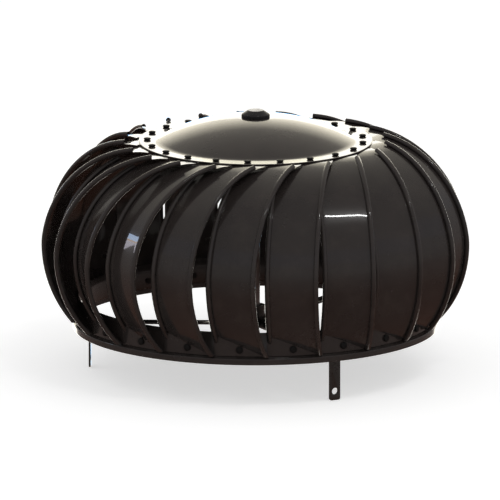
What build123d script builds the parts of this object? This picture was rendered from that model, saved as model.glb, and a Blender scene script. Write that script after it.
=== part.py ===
from build123d import *
import os
from math import asin, atan2, cos, degrees, radians, sin, sqrt, tan

# Roof turbine ventilator for a 12 inch (305 mm) throat.
# A spinning head of curved sheet vanes hangs on a fixed centre shaft, and three strap legs
# carry the shaft and bolt to the throat.  Millimetres, +Z up, origin on the spin axis at the
# level of the feet.  Angles run anticlockwise from +X, seen from above.

# ---------------------------------------------------------------- overall levels
ring_lift = 39.5            # feet to the lower edge of the base ring
head_height = 173.2         # lower edge of the base ring to the top of the crown's rim

# ---------------------------------------------------------------- vanes
vane_count = 21
first_vane_angle = -114.67  # direction of the first vane's plane
vane_sheet = 0.8
vane_offset = 56.0          # middle of the strip to the plane through the spin axis
vane_width = 49.0
vane_reach = 174.9          # furthest point of the strip's middle surface, along its plane
hip_radius = 52.3           # short tight arc just above the widest point
hip_turn = 8.8
shoulder_radius = 100.0     # long arc that closes in under the crown
fold_height = 16.3          # the strip's middle meets the band this far above the ring's edge
foot_trim = 5.0             # length cut off below the foot
hem_width = 4.8             # folded hem along both long edges
hem_rise = 3.8              # hem height above the strip's outer face
hem_bevel = 1.3
tab_crease = 82.0           # the strip bends flat here to pass under the crown
outer_hem_stop = 89.6       # where the outer hem is cut square, beside the crown
inner_hem_stop = 121.0      # where the inner hem stops, short of the next vane
vane_tab_turn = 16.3        # angle that each vane's top tab takes of its pitch
vane_tab_end = 92.5         # inner end of the top tab, from the spin axis

# ---------------------------------------------------------------- base ring
ring_radius = 162.3         # outer face of the band
ring_sheet = 0.9
ring_height = 29.3
lip_overhang = 4.6          # outer face of the stepped lip outside the band
lip_height = 7.3            # level where the band steps out to the lip
lip_slope = 1.6             # fall of the step
foot_clearance = 0.3        # foot tabs above the step

# ---------------------------------------------------------------- crown
crown_sheet = 1.2
rim_radius = 106.5
dome_foot_radius = 90.6
dome_rise = 21.6
dome_land_radius = 15.0     # flat land under the cap
dome_foot_fillet = 5.0
notch_margin = 2.5          # vane notches start this far outside the rim

# ---------------------------------------------------------------- rivets of the head
rivet_radius = 2.0
rivet_head_radius = 3.3
rivet_head_height = 2.2
rivet_head_taper = 28.0
rivet_tail_radius = 2.8
rivet_tail_height = 1.0
rivet_play = 0.1
rivet_seat = 0.05           # flat tails off the curved inside of the band
crown_rivet_circle = 98.7
crown_rivet_turn = 37.63    # from each vane's plane
ring_rivet_turn = 19.54
ring_rivet_height = 13.4    # above the ring's lower edge

# ---------------------------------------------------------------- shaft and bearings
shaft_radius = 4.0
running_play = 0.05         # bush bore over shaft
axial_play = 0.2
bush_radius = 7.0
bush_length = 12.0
bush_flange_radius = 10.0
bush_flange = 1.5
housing_radius = 11.5
housing_length = 68.0       # below the crown
housing_margin = 0.6        # housing flange inside the land
housing_flange = 3.0
housing_relief = 5.6        # bore between the bushes
stub_radius = 9.5           # threaded stub through the crown
stub_rise = 2.3             # above the crown's land
seat_play = 0.1             # stub in the crown and in the cap
clip_radius = 6.0
clip_thickness = 0.8
clip_groove = 0.6
shaft_top_margin = 1.6      # shaft end above the clip
washer_radius = 8.5
washer_thickness = 1.0
collar_radius = 8.5
collar_height = 9.0
collar_screw_radius = 2.0

# ---------------------------------------------------------------- cap
cap_radius = 13.0
cap_skirt = 2.7
cap_top_radius = 7.2
cap_height = 6.2
cap_wall = 1.5

# ---------------------------------------------------------------- brace
leg_count = 3
first_leg_angle = -61.8
leg_radius = 152.4          # outer faces of the legs, inside a 305 mm throat
strap_width = 11.0
strap_thickness = 2.0
strap_bend = 5.0            # outer radius of the bend
arm_rise = 1.5              # underside of the arms above the base ring's lower edge
arm_inner_end = 8.0
foot_corner = 2.0
foot_hole_radius = 3.0
foot_hole_height = 8.4
hub_plate_radius = 26.0
hub_plate = 2.0
hub_boss_radius = 8.5
hub_boss_height = 14.0
hub_rivet_radius = 2.0
hub_rivet_inner = 13.0
hub_rivet_outer = 21.0
hub_rivet_head_radius = 3.4
hub_rivet_head = 1.5
hub_pin_radius = 1.5

# ---------------------------------------------------------------- levels worked out from them
pitch = 360.0 / vane_count
rim_top = ring_lift + head_height
lip_radius = ring_radius + lip_overhang
rim_under = rim_top - crown_sheet
land_top = rim_top + dome_rise
land_under = land_top - crown_sheet
tab_middle = rim_under - vane_sheet / 2
band_top = ring_lift + ring_height
step_level = ring_lift + lip_height
foot_level = step_level + foot_clearance
crown_rivet_angle = first_vane_angle + crown_rivet_turn
ring_rivet_angle = first_vane_angle + ring_rivet_turn
ring_rivet_level = ring_lift + ring_rivet_height
arm_under = ring_lift + arm_rise
arm_top = arm_under + strap_thickness
plate_top = arm_top + hub_plate
boss_top = plate_top + hub_boss_height

# centres of the three arcs of the vane, in its own plane (distance from the axis, height)
hip_x = vane_reach - hip_radius
shoulder_x = hip_x - (shoulder_radius - hip_radius) * cos(radians(hip_turn))
shoulder_z = tab_middle - sqrt(shoulder_radius**2 - (tab_crease - shoulder_x)**2)
widest_z = shoulder_z + (shoulder_radius - hip_radius) * sin(radians(hip_turn))
fold_x = sqrt(ring_radius**2 - vane_offset**2)
fold_fall = widest_z - ring_lift - fold_height
skirt_radius = (fold_fall**2 + (vane_reach - fold_x)**2) / (2 * (vane_reach - fold_x))
skirt_x = vane_reach - skirt_radius
skirt_turn = degrees(asin((widest_z - foot_level + foot_trim) / skirt_radius))
face_out = vane_sheet / 2
face_in = -vane_sheet / 2
hem_out = face_out + hem_rise
crease_out = degrees(asin((tab_middle + face_out - shoulder_z) / (shoulder_radius + face_out)))
crease_in = degrees(asin((tab_middle + face_in - shoulder_z) / (shoulder_radius + face_in)))
outer_hem_turn = degrees(atan2(sqrt(shoulder_radius**2 - (outer_hem_stop - shoulder_x)**2),
                               outer_hem_stop - shoulder_x)) - hip_turn
inner_hem_turn = degrees(atan2(sqrt(shoulder_radius**2 - (inner_hem_stop - shoulder_x)**2),
                               inner_hem_stop - shoulder_x)) - hip_turn
outer_hem_middle = vane_offset + vane_width / 2 - hem_width / 2
inner_hem_middle = vane_offset - vane_width / 2 + hem_width / 2
tab_reach = 2 * rim_radius

# ================================================================ one vane
# The strip: three tangent arcs in a vertical plane that passes beside the spin axis, with a
# flat end for the crown's rim.  Local X points along that plane, local Y across the strip.
with BuildPart() as blade:
    with BuildSketch(Plane.XZ.offset(-vane_offset)):
        with BuildLine():
            CenterArc((skirt_x, widest_z), skirt_radius + face_out, -skirt_turn, skirt_turn)
            CenterArc((hip_x, widest_z), hip_radius + face_out, 0, hip_turn)
            top_out = CenterArc((shoulder_x, shoulder_z), shoulder_radius + face_out, hip_turn,
                                crease_out - hip_turn)
            Line(top_out @ 1, (0, tab_middle + face_out))
            Line((0, tab_middle + face_out), (0, tab_middle + face_in))
            top_in = CenterArc((shoulder_x, shoulder_z), shoulder_radius + face_in, hip_turn,
                               crease_in - hip_turn)
            Line((0, tab_middle + face_in), top_in @ 1)
            CenterArc((hip_x, widest_z), hip_radius + face_in, 0, hip_turn)
            skirt_in = CenterArc((skirt_x, widest_z), skirt_radius + face_in, -skirt_turn, skirt_turn)
            Line(skirt_in @ 0, (skirt_x + (skirt_radius + face_out) * cos(radians(skirt_turn)),
                                widest_z - (skirt_radius + face_out) * sin(radians(skirt_turn))))
        make_face()
    extrude(amount=vane_width / 2, both=True)
    # the outer hem stands on the outer face and is cut square beside the crown
    with BuildSketch(Plane.XZ.offset(-outer_hem_middle)):
        with BuildLine():
            o1 = CenterArc((skirt_x, widest_z), skirt_radius + hem_out, -skirt_turn, skirt_turn)
            CenterArc((hip_x, widest_z), hip_radius + hem_out, 0, hip_turn)
            o3 = CenterArc((shoulder_x, shoulder_z), shoulder_radius + hem_out, hip_turn, outer_hem_turn)
            o4 = CenterArc((shoulder_x, shoulder_z), shoulder_radius, hip_turn, outer_hem_turn)
            CenterArc((hip_x, widest_z), hip_radius, 0, hip_turn)
            o6 = CenterArc((skirt_x, widest_z), skirt_radius, -skirt_turn, skirt_turn)
            Line(o3 @ 1, o4 @ 1)
            Line(o6 @ 0, o1 @ 0)
        make_face()
    extrude(amount=hem_width / 2, both=True)
    # the inner hem is the same and stops before it meets the next vane
    with BuildSketch(Plane.XZ.offset(-inner_hem_middle)):
        with BuildLine():
            i1 = CenterArc((skirt_x, widest_z), skirt_radius + hem_out, -skirt_turn, skirt_turn)
            CenterArc((hip_x, widest_z), hip_radius + hem_out, 0, hip_turn)
            i3 = CenterArc((shoulder_x, shoulder_z), shoulder_radius + hem_out, hip_turn, inner_hem_turn)
            i4 = CenterArc((shoulder_x, shoulder_z), shoulder_radius, hip_turn, inner_hem_turn)
            CenterArc((hip_x, widest_z), hip_radius, 0, hip_turn)
            i6 = CenterArc((skirt_x, widest_z), skirt_radius, -skirt_turn, skirt_turn)
            Line(i3 @ 1, i4 @ 1)
            Line(i6 @ 0, i1 @ 0)
        make_face()
    extrude(amount=hem_width / 2, both=True)
    # bevel the two long outer edges of each hem
    for middle in (outer_hem_middle, inner_hem_middle):
        for side in (-1, 1):
            edge_y = middle + side * hem_width / 2
            rim_edges = blade.edges().filter_by(GeomType.CIRCLE).filter_by(
                lambda e: abs(e.center().Y - edge_y) < 0.01 and any(
                    abs(e.radius - r - hem_out) < 0.01
                    for r in (skirt_radius, hip_radius, shoulder_radius)
                )
            )
            chamfer(rim_edges, hem_bevel)
    # the lower end is cut to the band of the base ring and just above its step
    with BuildSketch(Plane.XY.offset(foot_level)):
        Circle(ring_radius)
    extrude(amount=ring_height + ring_lift, mode=Mode.SUBTRACT)
    with BuildSketch(Plane.XY.offset(foot_level)):
        Circle(2 * lip_radius)
    extrude(amount=-4 * lip_radius, mode=Mode.SUBTRACT)
    # under the crown only a tab of less than one pitch is left, ending short of the dome
    with BuildSketch(Plane.XY.offset(shoulder_z)):
        Circle(rim_radius + notch_margin)
        with BuildLine():
            Polyline(
                (0, 0),
                (tab_reach * cos(radians(crown_rivet_turn - vane_tab_turn / 2)),
                 tab_reach * sin(radians(crown_rivet_turn - vane_tab_turn / 2))),
                (tab_reach * cos(radians(crown_rivet_turn + vane_tab_turn / 2)),
                 tab_reach * sin(radians(crown_rivet_turn + vane_tab_turn / 2))),
                close=True,
            )
        make_face(mode=Mode.SUBTRACT)
        Circle(vane_tab_end)
    extrude(amount=2 * shoulder_radius, mode=Mode.SUBTRACT)

# the foot tab lies on the band below the slanting line where the strip meets it
tab_start = degrees(asin((vane_offset - vane_width / 2) / ring_radius))
tab_stop = degrees(asin((vane_offset + vane_width / 2 - hem_width) / ring_radius))
with BuildPart() as foot_tab:
    with BuildSketch(Plane.XY.offset(foot_level)):
        with BuildLine():
            tab_out = CenterArc((0, 0), ring_radius + vane_sheet, tab_start, tab_stop - tab_start)
            tab_in = CenterArc((0, 0), ring_radius, tab_start, tab_stop - tab_start)
            Line(tab_out @ 0, tab_in @ 0)
            Line(tab_out @ 1, tab_in @ 1)
        make_face()
    extrude(amount=ring_height)
    with BuildSketch(Plane.XZ):
        with Locations((skirt_x, widest_z)):
            Circle(skirt_radius + face_in)
    extrude(amount=2 * ring_radius, both=True, mode=Mode.SUBTRACT)

with BuildPart() as finished_blade:
    add(blade.part)
    add(foot_tab.part)
    # rivet holes in the foot tab and in the top tab
    with Locations(Location((0, 0, ring_rivet_level), (0, 0, ring_rivet_turn))):
        with Locations((ring_radius, 0, 0)):
            Cylinder(rivet_radius + rivet_play, 8 * vane_sheet, rotation=(0, 90, 0), mode=Mode.SUBTRACT)
    with PolarLocations(crown_rivet_circle, 1, crown_rivet_turn):
        with Locations((0, 0, tab_middle)):
            Cylinder(rivet_radius + rivet_play, 4 * vane_sheet, mode=Mode.SUBTRACT)

# ================================================================ crown
# A shallow spherical dome with a flat rim outside it and a flat land in the middle.
dome_sphere = ((dome_foot_radius**2 + dome_rise**2 - dome_land_radius**2)**2
               / (4 * dome_rise**2) + dome_land_radius**2)**0.5
with BuildPart() as crown:
    with BuildSketch(Plane.XZ):
        with BuildLine():
            top_dome = RadiusArc((dome_land_radius, land_top), (dome_foot_radius, rim_top), dome_sphere)
            under_dome = RadiusArc((dome_land_radius, land_under), (dome_foot_radius, rim_under),
                                   dome_sphere)
            Line((stub_radius + seat_play, land_top), (dome_land_radius, land_top))
            Line((stub_radius + seat_play, land_under), (dome_land_radius, land_under))
            Line((dome_foot_radius, rim_top), (rim_radius, rim_top))
            Line((dome_foot_radius, rim_under), (rim_radius, rim_under))
            Line((rim_radius, rim_under), (rim_radius, rim_top))
            Line((stub_radius + seat_play, land_under), (stub_radius + seat_play, land_top))
        make_face()
    revolve(axis=Axis.Z)
    foot_edges = crown.edges().filter_by(GeomType.CIRCLE).filter_by(
        lambda e: abs(e.radius - dome_foot_radius) < 0.01
    )
    fillet(foot_edges, dome_foot_fillet)
    with PolarLocations(crown_rivet_circle, vane_count, crown_rivet_angle):
        with Locations((0, 0, rim_under)):
            Cylinder(rivet_radius + rivet_play, 4 * crown_sheet, mode=Mode.SUBTRACT)

# ================================================================ base ring
with BuildPart() as base_ring:
    with BuildSketch(Plane.XZ):
        with BuildLine():
            Polyline(
                (ring_radius, band_top),
                (ring_radius, step_level),
                (lip_radius, step_level - lip_slope),
                (lip_radius, ring_lift),
                (lip_radius - ring_sheet, ring_lift),
                (lip_radius - ring_sheet, step_level - lip_slope - ring_sheet),
                (ring_radius - ring_sheet, step_level - ring_sheet),
                (ring_radius - ring_sheet, band_top),
                close=True,
            )
        make_face()
    revolve(axis=Axis.Z)
    step_edges = base_ring.edges().filter_by(GeomType.CIRCLE).filter_by(
        lambda e: abs(e.radius - lip_radius) < 0.01 and e.center().Z > ring_lift + 0.1
    )
    fillet(step_edges, lip_slope)
    with Locations((0, 0, ring_rivet_level)):
        with PolarLocations(ring_radius, vane_count, ring_rivet_angle):
            Cylinder(rivet_radius + rivet_play, 6 * ring_sheet, rotation=(0, 90, 0), mode=Mode.SUBTRACT)

# ================================================================ rivets of the head
# Crown rivets: a button head on the rim, a shank through rim and tab, a tail below.
with BuildPart() as crown_rivets:
    with BuildSketch(Plane.XY.offset(rim_top)):
        with PolarLocations(crown_rivet_circle, vane_count, crown_rivet_angle):
            Circle(rivet_head_radius)
    extrude(amount=rivet_head_height, taper=rivet_head_taper)
    with BuildSketch(Plane.XY.offset(rim_under - vane_sheet - rivet_tail_height)):
        with PolarLocations(crown_rivet_circle, vane_count, crown_rivet_angle):
            Circle(rivet_tail_radius)
    extrude(amount=rivet_tail_height)
    with BuildSketch(Plane.XY.offset(rim_under - vane_sheet - rivet_tail_height / 2)):
        with PolarLocations(crown_rivet_circle, vane_count, crown_rivet_angle):
            Circle(rivet_radius)
    extrude(amount=crown_sheet + vane_sheet + rivet_tail_height)

# Ring rivets: the same, lying level through each foot tab and the band.
head_top_radius = rivet_head_radius - rivet_head_height * tan(radians(rivet_head_taper))
with BuildPart() as ring_rivets:
    with Locations((0, 0, ring_rivet_level)):
        with PolarLocations(ring_radius + vane_sheet, vane_count, ring_rivet_angle):
            Cone(rivet_head_radius, head_top_radius, rivet_head_height, rotation=(0, 90, 0),
                 align=(Align.CENTER, Align.CENTER, Align.MIN))
        with PolarLocations(ring_radius + vane_sheet + rivet_head_height / 2, vane_count,
                            ring_rivet_angle):
            Cylinder(rivet_radius, ring_sheet + vane_sheet + rivet_head_height / 2 + rivet_tail_height / 2,
                     rotation=(0, 90, 0), align=(Align.CENTER, Align.CENTER, Align.MAX))
        with PolarLocations(ring_radius - ring_sheet - rivet_seat, vane_count, ring_rivet_angle):
            Cylinder(rivet_tail_radius, rivet_tail_height, rotation=(0, 90, 0),
                     align=(Align.CENTER, Align.CENTER, Align.MAX))

# ================================================================ bearing housing and cap
housing_top = land_under
housing_flange_radius = dome_land_radius - housing_margin
housing_bottom = land_under - housing_length
stub_top = land_top + stub_rise
upper_bush_top = land_under - bush_flange
upper_bush_bottom = upper_bush_top - bush_length
lower_bush_top = housing_bottom + bush_length
with BuildPart() as bearing_housing:
    with BuildSketch(Plane.XZ):
        with BuildLine():
            Polyline(
                (bush_radius, housing_bottom),
                (housing_radius, housing_bottom),
                (housing_radius, housing_top - housing_flange),
                (housing_flange_radius, housing_top - housing_flange),
                (housing_flange_radius, housing_top),
                (stub_radius, housing_top),
                (stub_radius, stub_top),
                (bush_radius, stub_top),
                (bush_radius, upper_bush_bottom),
                (housing_relief, upper_bush_bottom),
                (housing_relief, lower_bush_top),
                (bush_radius, lower_bush_top),
                close=True,
            )
        make_face()
    revolve(axis=Axis.Z)

cap_bottom = land_top
with BuildPart() as cap:
    with BuildSketch(Plane.XZ):
        with BuildLine():
            Polyline(
                (stub_radius + seat_play, cap_bottom),
                (cap_radius, cap_bottom),
                (cap_radius, cap_bottom + cap_skirt),
                (cap_top_radius, cap_bottom + cap_height),
                (0, cap_bottom + cap_height),
                (0, cap_bottom + cap_height - cap_wall),
                (cap_top_radius - cap_wall, cap_bottom + cap_height - cap_wall),
                (stub_radius + seat_play, cap_bottom + stub_rise + seat_play),
                close=True,
            )
        make_face()
    revolve(axis=Axis.Z)

# ================================================================ bushes, shaft and what holds it
shaft_bottom = arm_top
clip_bottom = upper_bush_top + axial_play
shaft_top = clip_bottom + clip_thickness + shaft_top_margin
with BuildPart() as upper_bush:
    with BuildSketch(Plane.XY.offset(upper_bush_bottom)):
        Circle(bush_radius)
        Circle(shaft_radius + running_play, mode=Mode.SUBTRACT)
    extrude(amount=bush_length)

lower_flange_bottom = housing_bottom - bush_flange
with BuildPart() as lower_bush:
    with BuildSketch(Plane.XY.offset(lower_flange_bottom)):
        Circle(bush_radius)
        Circle(shaft_radius + running_play, mode=Mode.SUBTRACT)
    extrude(amount=bush_length + bush_flange)
    with BuildSketch(Plane.XY.offset(lower_flange_bottom)):
        Circle(bush_flange_radius)
        Circle(bush_radius, mode=Mode.SUBTRACT)
    extrude(amount=bush_flange)

washer_top = lower_flange_bottom - axial_play
with BuildPart() as thrust_washer:
    with BuildSketch(Plane.XY.offset(washer_top - washer_thickness)):
        Circle(washer_radius)
        Circle(shaft_radius + seat_play, mode=Mode.SUBTRACT)
    extrude(amount=washer_thickness)

collar_top = washer_top - washer_thickness
collar_middle = collar_top - collar_height / 2
with BuildPart() as shaft_collar:
    with BuildSketch(Plane.XY.offset(collar_top - collar_height)):
        Circle(collar_radius)
        Circle(shaft_radius, mode=Mode.SUBTRACT)
    extrude(amount=collar_height)
    with Locations(Location((0, 0, collar_middle), (0, 90, 0))):
        Cylinder(collar_screw_radius, 2 * collar_radius, mode=Mode.SUBTRACT,
                 align=(Align.CENTER, Align.CENTER, Align.MIN))

with BuildPart() as collar_screw:
    with Locations(Location((shaft_radius, 0, collar_middle), (0, 90, 0))):
        Cylinder(collar_screw_radius, collar_radius - shaft_radius - 0.3,
                 align=(Align.CENTER, Align.CENTER, Align.MIN))

with BuildPart() as shaft:
    with BuildSketch(Plane.XY.offset(shaft_bottom)):
        Circle(shaft_radius)
    extrude(amount=shaft_top - shaft_bottom)
    with BuildSketch(Plane.XY.offset(clip_bottom)):
        Circle(2 * shaft_radius)
        Circle(shaft_radius - clip_groove, mode=Mode.SUBTRACT)
    extrude(amount=clip_thickness, mode=Mode.SUBTRACT)
    chamfer(shaft.edges().sort_by(Axis.Z)[-1], clip_groove)
    with Locations(Location((0, 0, plate_top + hub_boss_height / 2), (0, 90, 0))):
        Cylinder(hub_pin_radius, 4 * shaft_radius, mode=Mode.SUBTRACT)

with BuildPart() as retaining_clip:
    with BuildSketch(Plane.XY.offset(clip_bottom)):
        Circle(clip_radius)
        Circle(shaft_radius - clip_groove, mode=Mode.SUBTRACT)
        with Locations((clip_radius, 0)):
            Rectangle(2 * clip_radius, 1.2 * shaft_radius, mode=Mode.SUBTRACT)
    extrude(amount=clip_thickness)

# ================================================================ brace: hub and three strap legs
with BuildPart() as hub:
    with BuildSketch(Plane.XY.offset(arm_top)):
        Circle(hub_plate_radius)
    extrude(amount=hub_plate)
    with BuildSketch(Plane.XY.offset(arm_top)):
        Circle(hub_boss_radius)
    extrude(amount=hub_plate + hub_boss_height)
    with BuildSketch(Plane.XY.offset(arm_top)):
        Circle(shaft_radius)
        with PolarLocations(hub_rivet_inner, leg_count, first_leg_angle):
            Circle(hub_rivet_radius + rivet_play)
        with PolarLocations(hub_rivet_outer, leg_count, first_leg_angle):
            Circle(hub_rivet_radius + rivet_play)
    extrude(amount=hub_plate + hub_boss_height, mode=Mode.SUBTRACT)
    with Locations(Location((0, 0, plate_top + hub_boss_height / 2), (0, 90, 0))):
        Cylinder(hub_pin_radius, 4 * hub_boss_radius, mode=Mode.SUBTRACT)

with BuildPart() as hub_pin:
    with Locations(Location((0, 0, plate_top + hub_boss_height / 2), (0, 90, 0))):
        Cylinder(hub_pin_radius, 2 * hub_boss_radius)

with BuildPart() as strap:
    with BuildSketch(Plane.XZ):
        with BuildLine():
            bend_out = CenterArc((leg_radius - strap_bend, arm_top - strap_bend), strap_bend, 0, 90)
            bend_in = CenterArc((leg_radius - strap_bend, arm_top - strap_bend),
                                strap_bend - strap_thickness, 0, 90)
            Line(bend_out @ 1, (arm_inner_end, arm_top))
            Line((arm_inner_end, arm_top), (arm_inner_end, arm_under))
            Line((arm_inner_end, arm_under), bend_in @ 1)
            Line(bend_in @ 0, (leg_radius - strap_thickness, 0))
            Line((leg_radius - strap_thickness, 0), (leg_radius, 0))
            Line((leg_radius, 0), bend_out @ 0)
        make_face()
    extrude(amount=strap_width / 2, both=True)
    fillet(strap.edges().filter_by(Axis.X).group_by(Axis.Z)[0], foot_corner)
    with Locations(Location((leg_radius, 0, foot_hole_height), (0, 90, 0))):
        Cylinder(foot_hole_radius, 4 * strap_thickness, mode=Mode.SUBTRACT)
    with Locations((hub_rivet_inner, 0, arm_under), (hub_rivet_outer, 0, arm_under)):
        Cylinder(hub_rivet_radius + rivet_play, 4 * strap_thickness, mode=Mode.SUBTRACT)

with BuildPart() as hub_rivets:
    for circle in (hub_rivet_inner, hub_rivet_outer):
        with BuildSketch(Plane.XY.offset(plate_top)):
            with PolarLocations(circle, leg_count, first_leg_angle):
                Circle(hub_rivet_head_radius)
        extrude(amount=hub_rivet_head, taper=rivet_head_taper)
        with BuildSketch(Plane.XY.offset(arm_under)):
            with PolarLocations(circle, leg_count, first_leg_angle):
                Circle(hub_rivet_radius)
        extrude(amount=strap_thickness + hub_plate + hub_rivet_head / 2)

# ================================================================ write one file for each piece
os.makedirs("parts", exist_ok=True)
for number in range(vane_count):
    with BuildPart() as vane:
        add(finished_blade.part, rotation=(0, 0, first_vane_angle + number * pitch))
    vane.part.label = f"vane_{number + 1:02d}"
    export_step(vane.part, f"parts/vane_{number + 1:02d}.step")

for number in range(leg_count):
    with BuildPart() as leg:
        add(strap.part, rotation=(0, 0, first_leg_angle + number * 360 / leg_count))
    leg.part.label = f"leg_{number + 1}"
    export_step(leg.part, f"parts/leg_{number + 1}.step")

crown.part.label = "crown"
export_step(crown.part, "parts/crown.step")
base_ring.part.label = "base_ring"
export_step(base_ring.part, "parts/base_ring.step")
crown_rivets.part.label = "crown_rivets"
export_step(crown_rivets.part, "parts/crown_rivets.step")
ring_rivets.part.label = "ring_rivets"
export_step(ring_rivets.part, "parts/ring_rivets.step")
bearing_housing.part.label = "bearing_housing"
export_step(bearing_housing.part, "parts/bearing_housing.step")
cap.part.label = "cap"
export_step(cap.part, "parts/cap.step")
upper_bush.part.label = "upper_bush"
export_step(upper_bush.part, "parts/upper_bush.step")
lower_bush.part.label = "lower_bush"
export_step(lower_bush.part, "parts/lower_bush.step")
thrust_washer.part.label = "thrust_washer"
export_step(thrust_washer.part, "parts/thrust_washer.step")
shaft_collar.part.label = "shaft_collar"
export_step(shaft_collar.part, "parts/shaft_collar.step")
collar_screw.part.label = "collar_screw"
export_step(collar_screw.part, "parts/collar_screw.step")
shaft.part.label = "shaft"
export_step(shaft.part, "parts/shaft.step")
retaining_clip.part.label = "retaining_clip"
export_step(retaining_clip.part, "parts/retaining_clip.step")
hub.part.label = "hub"
export_step(hub.part, "parts/hub.step")
hub_pin.part.label = "hub_pin"
export_step(hub_pin.part, "parts/hub_pin.step")
hub_rivets.part.label = "hub_rivets"
export_step(hub_rivets.part, "parts/hub_rivets.step")
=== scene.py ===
"""Roof turbine ventilator: finishes, rounded sheet-metal forms, studio and camera.

Every new piece is modelled in the shared frame in metres, with +Z up, the spin axis on the
origin and the level of the feet at zero, and rides on one of the two bodies of the assembly.
"""

import logging
import math
from collections.abc import Callable, Iterable, Sequence
from dataclasses import dataclass, field
from enum import Enum

import bpy
from mathutils import Matrix, Vector

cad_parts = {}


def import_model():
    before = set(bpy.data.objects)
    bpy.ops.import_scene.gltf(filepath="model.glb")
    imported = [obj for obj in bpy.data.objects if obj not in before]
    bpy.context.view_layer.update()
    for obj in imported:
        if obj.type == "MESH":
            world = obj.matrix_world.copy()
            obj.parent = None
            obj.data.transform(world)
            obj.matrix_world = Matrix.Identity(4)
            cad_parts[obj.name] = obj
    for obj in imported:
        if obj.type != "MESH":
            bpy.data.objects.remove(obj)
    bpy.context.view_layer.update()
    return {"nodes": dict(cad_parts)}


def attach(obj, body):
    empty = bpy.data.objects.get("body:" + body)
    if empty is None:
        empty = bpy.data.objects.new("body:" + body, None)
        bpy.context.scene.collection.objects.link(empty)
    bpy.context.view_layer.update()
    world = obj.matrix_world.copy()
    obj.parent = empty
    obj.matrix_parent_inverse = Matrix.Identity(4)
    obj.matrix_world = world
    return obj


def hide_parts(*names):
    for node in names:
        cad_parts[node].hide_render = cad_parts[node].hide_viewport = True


LOG = logging.getLogger("ventilator")
MM = 0.001
Point = tuple[float, float, float]
Colour = tuple[float, float, float]
Span = tuple[float, float]
Band = tuple[float, float, float]
Piece = bpy.types.Object
Socket = bpy.types.NodeSocket
TOUCH = 1e-7  # metres within which two places are one
NEAR = 1e-6  # metres within which two vertices are merged

# Driving sizes that several pieces share, in millimetres and degrees.
VANES = 21
FIRST_VANE = -114.67
RIM_TURN = 37.63
FOOT_TURN = 19.54
RING_RADIUS = 162.3
RING_BOTTOM = 39.5
HEAD_HEIGHT = 173.2
RIM_RADIUS = 106.5
CROWN_SHEET = 1.2


class Body(Enum):
    """The two rigid bodies of the assembly."""

    BRACE = "brace"
    TURBINE = "turbine"


# ---------- modelling by hand
def deselect_everything() -> None:
    """Leaves object mode with nothing selected."""
    if bpy.context.object and bpy.context.object.mode != "OBJECT":
        bpy.ops.object.mode_set(mode="OBJECT")
    bpy.ops.object.select_all(action="DESELECT")


def make_active(obj: Piece) -> None:
    """Selects one object alone.

    Args:
        obj: The object that the next operators act on.
    """
    deselect_everything()
    obj.select_set(True)
    bpy.context.view_layer.objects.active = obj


def enter_edit(obj: Piece, mode: str = "EDGE") -> None:
    """Opens a mesh for editing.

    Args:
        obj: The mesh object.
        mode: VERT, EDGE or FACE.
    """
    make_active(obj)
    bpy.ops.object.mode_set(mode="EDIT")
    bpy.ops.mesh.select_mode(type=mode)


def enter_edit_keep(obj: Piece) -> None:
    """Opens a mesh for editing in edge mode with the selection that it has.

    Args:
        obj: The mesh object.
    """
    bpy.context.view_layer.objects.active = obj
    bpy.context.tool_settings.mesh_select_mode = (False, True, False)
    bpy.ops.object.mode_set(mode="EDIT")


def leave_edit() -> None:
    """Returns to object mode."""
    bpy.ops.object.mode_set(mode="OBJECT")


def select_vertices(obj: Piece, test: Callable[[Vector], bool]) -> None:
    """Selects the vertices of a mesh in edit mode by their place.

    Args:
        obj: The object in edit mode.
        test: Says for a vertex's coordinates whether it is wanted.
    """
    bpy.ops.mesh.select_mode(type="VERT")
    bpy.ops.mesh.select_all(action="DESELECT")
    bpy.ops.object.mode_set(mode="OBJECT")
    for vertex in obj.data.vertices:
        vertex.select = test(vertex.co)
    bpy.ops.object.mode_set(mode="EDIT")


def keep_selected_edges(obj: Piece, test: Callable[[Vector, Vector], bool]) -> None:
    """Drops edges from the selection unless they pass a test.

    Args:
        obj: The object in edit mode, with edges selected.
        test: Says for an edge's two ends whether it stays selected.
    """
    bpy.ops.object.mode_set(mode="OBJECT")
    mesh = obj.data
    chosen = [e.index for e in mesh.edges if e.select and test(mesh.vertices[e.vertices[0]].co,
                                                               mesh.vertices[e.vertices[1]].co)]
    for vertex in mesh.vertices:
        vertex.select = False
    for edge in mesh.edges:
        edge.select = False
    for index in chosen:
        mesh.edges[index].select = True
        for vertex in mesh.edges[index].vertices:
            mesh.vertices[vertex].select = True
    bpy.ops.object.mode_set(mode="EDIT")
    bpy.ops.mesh.select_mode(type="EDGE")


def trace(name: str, points: Sequence[Point], closed: bool = False) -> Piece:
    """Draws a line through points by extruding one vertex, and leaves it open for editing.

    Args:
        name: Name of the new object.
        points: The line's points in millimetres.
        closed: Whether the last point joins the first.

    Returns:
        The object, in edit mode with the whole line selected.
    """
    deselect_everything()
    bpy.ops.mesh.primitive_plane_add(size=MM, location=(0, 0, 0))
    obj = bpy.context.object
    obj.name = name
    enter_edit(obj, "VERT")
    bpy.ops.mesh.select_all(action="SELECT")
    bpy.ops.mesh.merge(type="CENTER")
    bpy.ops.transform.translate(value=Vector(points[0]) * MM)
    for here, there in zip(points, points[1:]):
        step = (Vector(there) - Vector(here)) * MM
        bpy.ops.mesh.extrude_region_move(TRANSFORM_OT_translate={"value": step})
    bpy.ops.mesh.select_all(action="SELECT")
    if closed:
        ends = (Vector(points[0]) * MM, Vector(points[-1]) * MM)
        select_vertices(obj, lambda co: min((co - e).length for e in ends) < TOUCH)
        bpy.ops.mesh.edge_face_add()
    bpy.ops.mesh.select_mode(type="EDGE")
    bpy.ops.mesh.select_all(action="SELECT")
    return obj


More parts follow.
